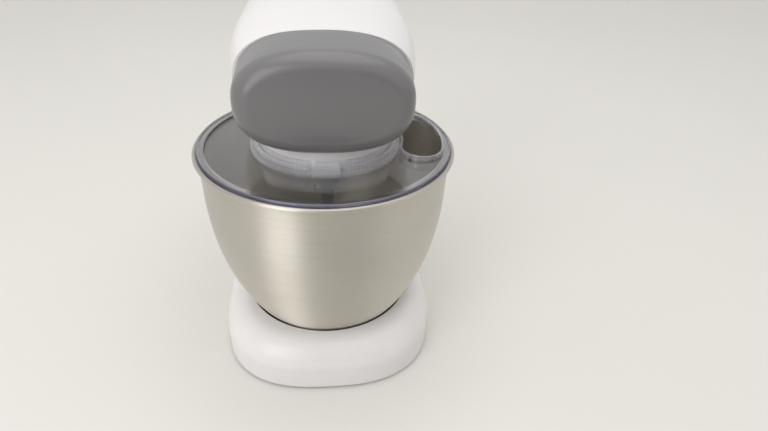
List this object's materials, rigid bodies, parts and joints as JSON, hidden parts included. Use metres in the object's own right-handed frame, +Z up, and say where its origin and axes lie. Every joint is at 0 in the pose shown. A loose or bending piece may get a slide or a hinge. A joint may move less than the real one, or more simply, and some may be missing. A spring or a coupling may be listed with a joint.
{
  "type": "stand mixer",
  "caption": "Tilt-head stand mixer with a steel bowl, clear splash lid with filling chute, planetary tool spindle, belt-driven motor, speed knob and head release.",
  "frame": {"origin": "centre of the box around the mixer, on the surface it stands on", "axes": "+Z up, -Y towards the bowl and the front, +X to the right seen from the front"},
  "size_m": [0.23, 0.349, 0.3097],
  "materials": {
    "white_moulding": "smooth white moulding, satin gloss",
    "grey_moulding": "smooth dark grey moulding, satin gloss",
    "clear_plastic": "clear moulded plastic",
    "bowl_steel": "brushed stainless steel, turned lines around the bowl",
    "dark_seat": "dark matt plastic",
    "base_cover": "grey matt plastic",
    "foot_rubber": "matt black rubber",
    "steel": "ground steel",
    "cast_frame": "cast aluminium",
    "lamination": "stacked sheet steel",
    "copper": "copper",
    "nylon": "natural nylon",
    "black_plastic": "black matt plastic",
    "belt_rubber": "ribbed belt rubber",
    "board": "green circuit board",
    "bronze": "sintered bronze"
  },
  "bodies": {
    "stand": {"base_housing": "white_moulding", "base_plate": "base_cover", "rubber_feet": "foot_rubber", "bowl_seat": "dark_seat", "base_screws": "steel", "cord_gland": "black_plastic", "hinge_bushes": "bronze", "speed_switch": "black_plastic", "control_board": "board", "release_spring": "steel"},
    "bowl": {"bowl": "bowl_steel", "bowl_foot": "bowl_steel"},
    "head": {"head_upper_shell": "white_moulding", "head_lower_shell": "white_moulding", "front_cap": "grey_moulding", "hinge_pin": "steel", "lock_arm": "steel", "gear_frame": "cast_frame", "top_plate": "cast_frame", "frame_screws": "steel", "shaft_bearings": "bronze", "ring_gear": "nylon", "motor_stator": "lamination", "field_windings": "copper", "drive_belt": "belt_rubber", "brush_holders": "black_plastic"},
    "lid": {"lid": "clear_plastic"},
    "carrier": {"planet_carrier": "cast_frame", "spindle_bush": "bronze", "carrier_shaft": "steel", "drive_gear": "nylon"},
    "spindle": {"tool_spindle": "steel", "cross_pin": "steel", "planet_pinion": "steel"},
    "lay_train": {"lay_shaft": "steel", "lay_pinion": "steel", "lay_pulley": "black_plastic"},
    "armature": {"armature_shaft": "steel", "armature_core": "lamination", "commutator": "copper", "cooling_fan": "black_plastic", "motor_pulley": "steel"},
    "knob": {"speed_knob": "grey_moulding", "knob_shaft": "steel"},
    "button": {"release_button": "grey_moulding", "lock_bolt": "steel"}
  },
  "joints": [
    {"name": "head_tilt", "type": "hinge", "parent": "stand", "child": "head", "pos_m": [0, 0.1085, 0.2325], "axis": [-1, 0, 0], "range_deg": [0, 40]},
    {"name": "bowl_twist", "type": "hinge", "parent": "stand", "child": "bowl", "pos_m": [0, -0.0595, 0.034], "axis": [0, 0, 1], "range_deg": [0, 30]},
    {"name": "lid_twist", "type": "hinge", "parent": "head", "child": "lid", "pos_m": [0, -0.0595, 0.206], "axis": [0, 0, 1], "range_deg": [0, 25]},
    {"name": "carrier_spin", "type": "hinge", "parent": "head", "child": "carrier", "pos_m": [0, -0.0595, 0.2], "axis": [0, 0, 1], "continuous": true},
    {"name": "spindle_spin", "type": "hinge", "parent": "carrier", "child": "spindle", "pos_m": [0, -0.0835, 0.19], "axis": [0, 0, 1], "continuous": true},
    {"name": "lay_spin", "type": "hinge", "parent": "head", "child": "lay_train", "pos_m": [0, -0.022, 0.25], "axis": [0, 0, 1], "continuous": true},
    {"name": "armature_spin", "type": "hinge", "parent": "head", "child": "armature", "pos_m": [0, 0.0375, 0.25], "axis": [0, 0, 1], "continuous": true},
    {"name": "speed_turn", "type": "hinge", "parent": "stand", "child": "knob", "pos_m": [0.048, 0.1085, 0.15], "axis": [1, 0, 0], "range_deg": [0, 240]},
    {"name": "release_press", "type": "slide", "parent": "stand", "child": "button", "axis": [1, 0, 0], "range_m": [0, 0.005], "stiffness_N_per_m": 400, "deforming": ["release_spring"]}
  ],
  "couplings": [
    {"joint": "spindle_spin", "follows": "carrier_spin", "ratio": -3},
    {"joint": "lay_spin", "follows": "carrier_spin", "ratio": -3.2857},
    {"joint": "armature_spin", "follows": "carrier_spin", "ratio": -12.321}
  ]
}
